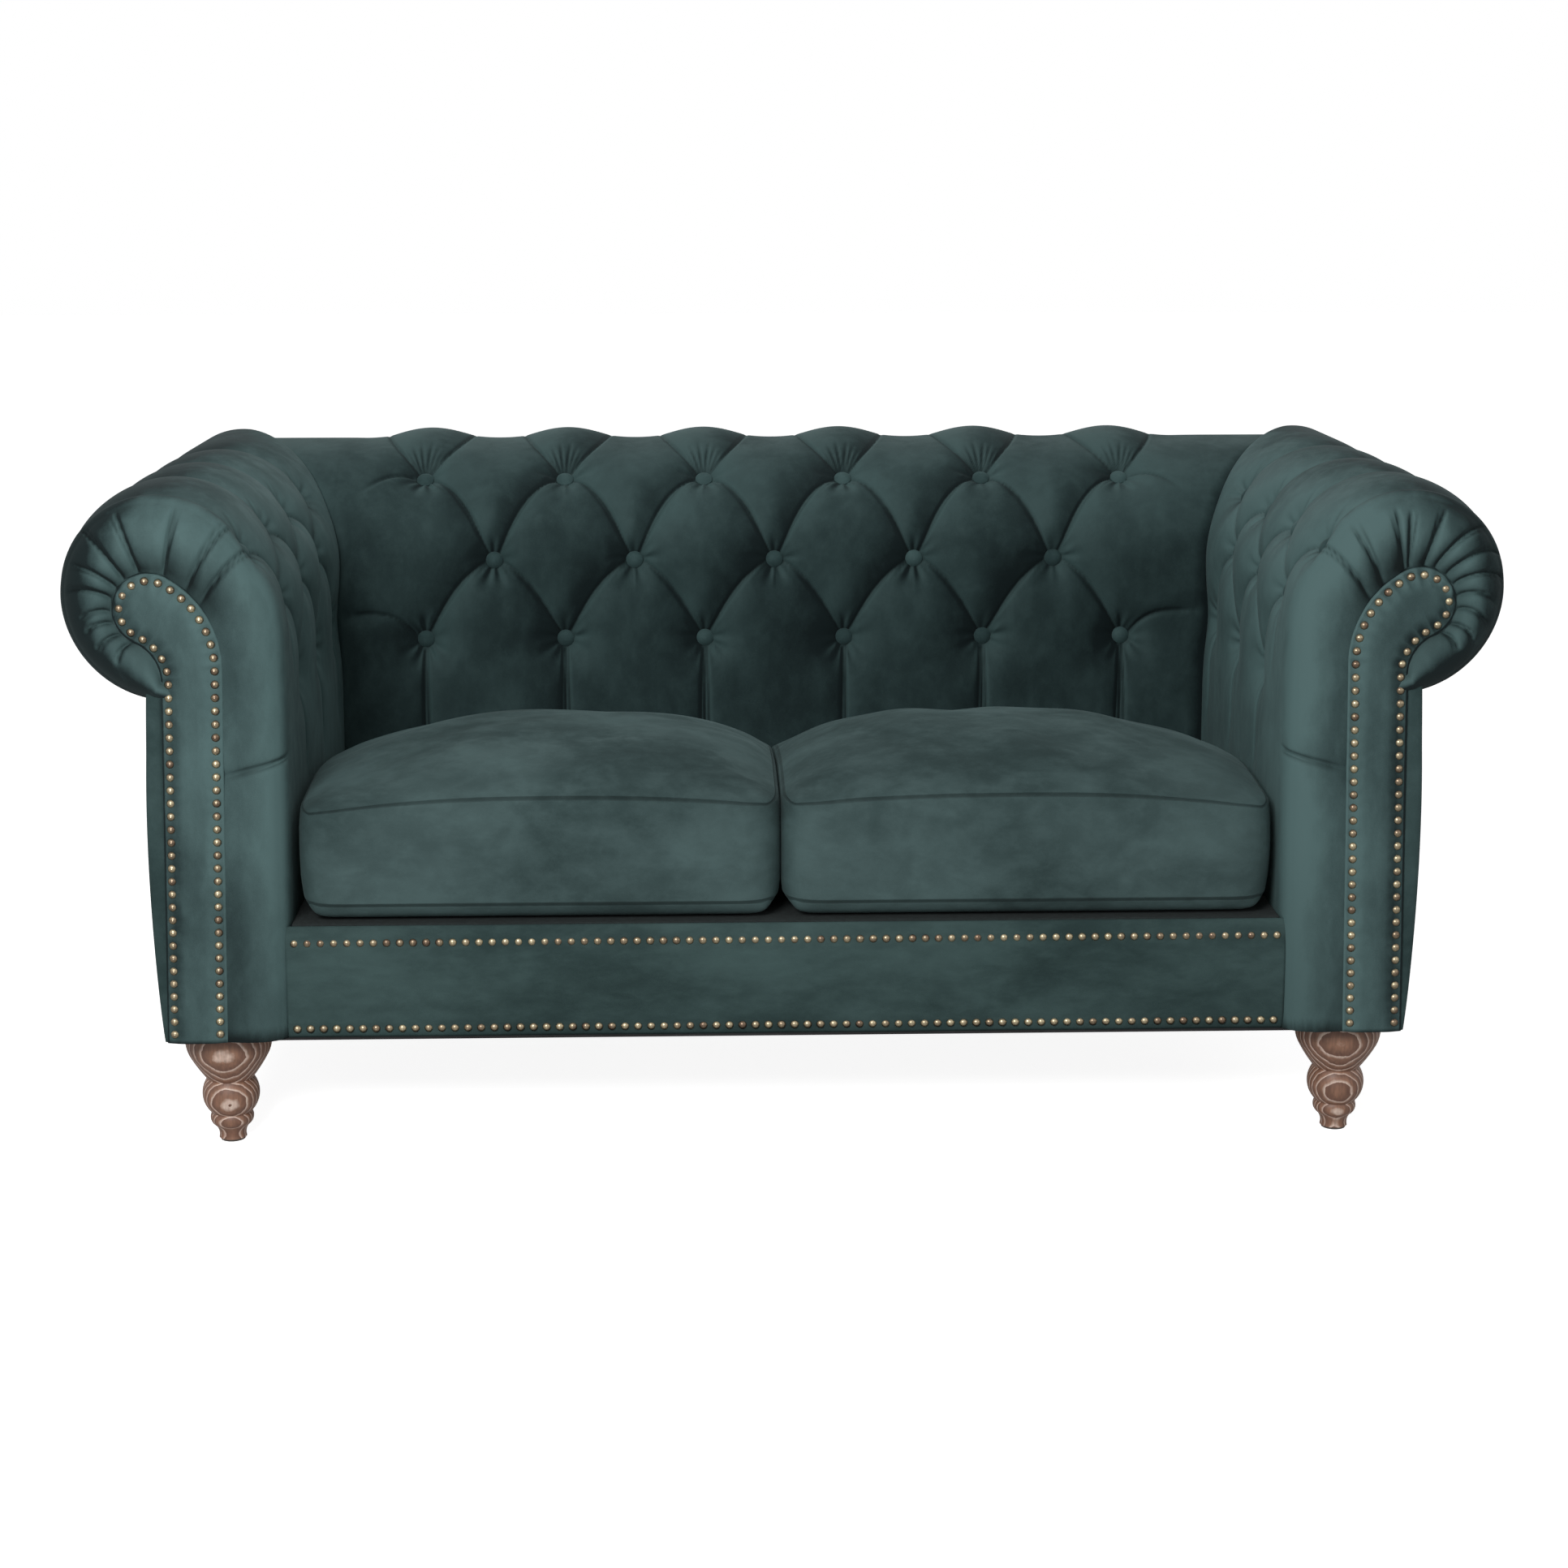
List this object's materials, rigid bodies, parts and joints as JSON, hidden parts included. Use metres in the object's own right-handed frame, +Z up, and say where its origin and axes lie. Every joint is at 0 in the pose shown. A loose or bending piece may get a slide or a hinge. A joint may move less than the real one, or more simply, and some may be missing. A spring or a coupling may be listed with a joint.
{
  "type": "chesterfield sofa",
  "caption": "Compact rolled-arm sofa with a deep-buttoned velvet back and inside arms, loose seat cushions, nail-trimmed scroll facings and turned oak feet.",
  "frame": {"origin": "on the floor under the middle of the sofa", "axes": "+X to the right as seen from the front, along the width; +Y to the back; +Z up"},
  "size_m": [1.7182, 0.9001, 0.8199],
  "materials": {
    "frame_timber": "sawn beech, unfinished",
    "green_velvet": "deep bottle green velvet with a brushed nap",
    "button_velvet": "the same velvet stretched over button moulds",
    "antique_brass": "antique brass, rubbed bright on the dome",
    "limed_oak": "brown oak with lime in the open grain",
    "spring_steel": "plain drawn wire and pressed steel",
    "zip_metal": "dull plated zip slider",
    "zip_tape": "woven tape with spiral teeth",
    "webbing": "woven elastic webbing",
    "black_cloth": "black non-woven bottoming cloth",
    "deck_felt": "felt pad under dark platform cloth",
    "cushion_foam": "polyurethane foam block",
    "glide_plastic": "moulded nylon glide"
  },
  "bodies": {
    "sofa_frame": {"back_buttons": "button_velvet", "back_tack_rails": "frame_timber", "back_top_rail": "frame_timber", "back_uprights": "frame_timber", "back_webbing": "webbing", "centre_stretcher": "frame_timber", "dust_cover": "black_cloth", "foot_blocks": "frame_timber", "foot_bolts": "spring_steel", "foot_glides": "glide_plastic", "foot_plates": "spring_steel", "front_border": "green_velvet", "front_left_foot": "limed_oak", "front_lower_nails": "antique_brass", "front_right_foot": "limed_oak", "front_seat_rail": "frame_timber", "front_upper_nails": "antique_brass", "inside_back_pad": "green_velvet", "left_arm_base_rail": "frame_timber", "left_arm_buttons": "button_velvet", "left_arm_facing": "green_velvet", "left_arm_front_post": "frame_timber", "left_arm_nails": "antique_brass", "left_arm_rear_post": "frame_timber", "left_arm_tack_rails": "frame_timber", "left_arm_top_rail": "frame_timber", "left_arm_webbing": "webbing", "left_inside_arm_pad": "green_velvet", "left_outside_arm_panel": "green_velvet", "left_side_seat_rail": "frame_timber", "outside_back_panel": "green_velvet", "rear_left_foot": "limed_oak", "rear_right_foot": "limed_oak", "rear_seat_rail": "frame_timber", "right_arm_base_rail": "frame_timber", "right_arm_buttons": "button_velvet", "right_arm_facing": "green_velvet", "right_arm_front_post": "frame_timber", "right_arm_nails": "antique_brass", "right_arm_rear_post": "frame_timber", "right_arm_tack_rails": "frame_timber", "right_arm_top_rail": "frame_timber", "right_arm_webbing": "webbing", "right_inside_arm_pad": "green_velvet", "right_outside_arm_panel": "green_velvet", "right_side_seat_rail": "frame_timber", "seat_deck_pad": "deck_felt", "seat_springs": "spring_steel", "spring_clips": "spring_steel"},
    "left_cushion": {"left_seat_cushion_cover": "green_velvet", "left_seat_cushion_core": "cushion_foam", "left_cushion_zip": "zip_tape"},
    "left_slider": {"left_zip_slider": "zip_metal"},
    "right_cushion": {"right_seat_cushion_cover": "green_velvet", "right_seat_cushion_core": "cushion_foam", "right_cushion_zip": "zip_tape"},
    "right_slider": {"right_zip_slider": "zip_metal"}
  },
  "joints": [
    {"name": "left_cushion_lift", "type": "slide", "parent": "sofa_frame", "child": "left_cushion", "axis": [0, 0, 1], "range_m": [0, 0.4]},
    {"name": "left_zip_travel", "type": "slide", "parent": "left_cushion", "child": "left_slider", "axis": [-1, 0, 0], "range_m": [0, 0.37]},
    {"name": "right_cushion_lift", "type": "slide", "parent": "sofa_frame", "child": "right_cushion", "axis": [0, 0, 1], "range_m": [0, 0.4]},
    {"name": "right_zip_travel", "type": "slide", "parent": "right_cushion", "child": "right_slider", "axis": [-1, 0, 0], "range_m": [0, 0.37]}
  ]
}
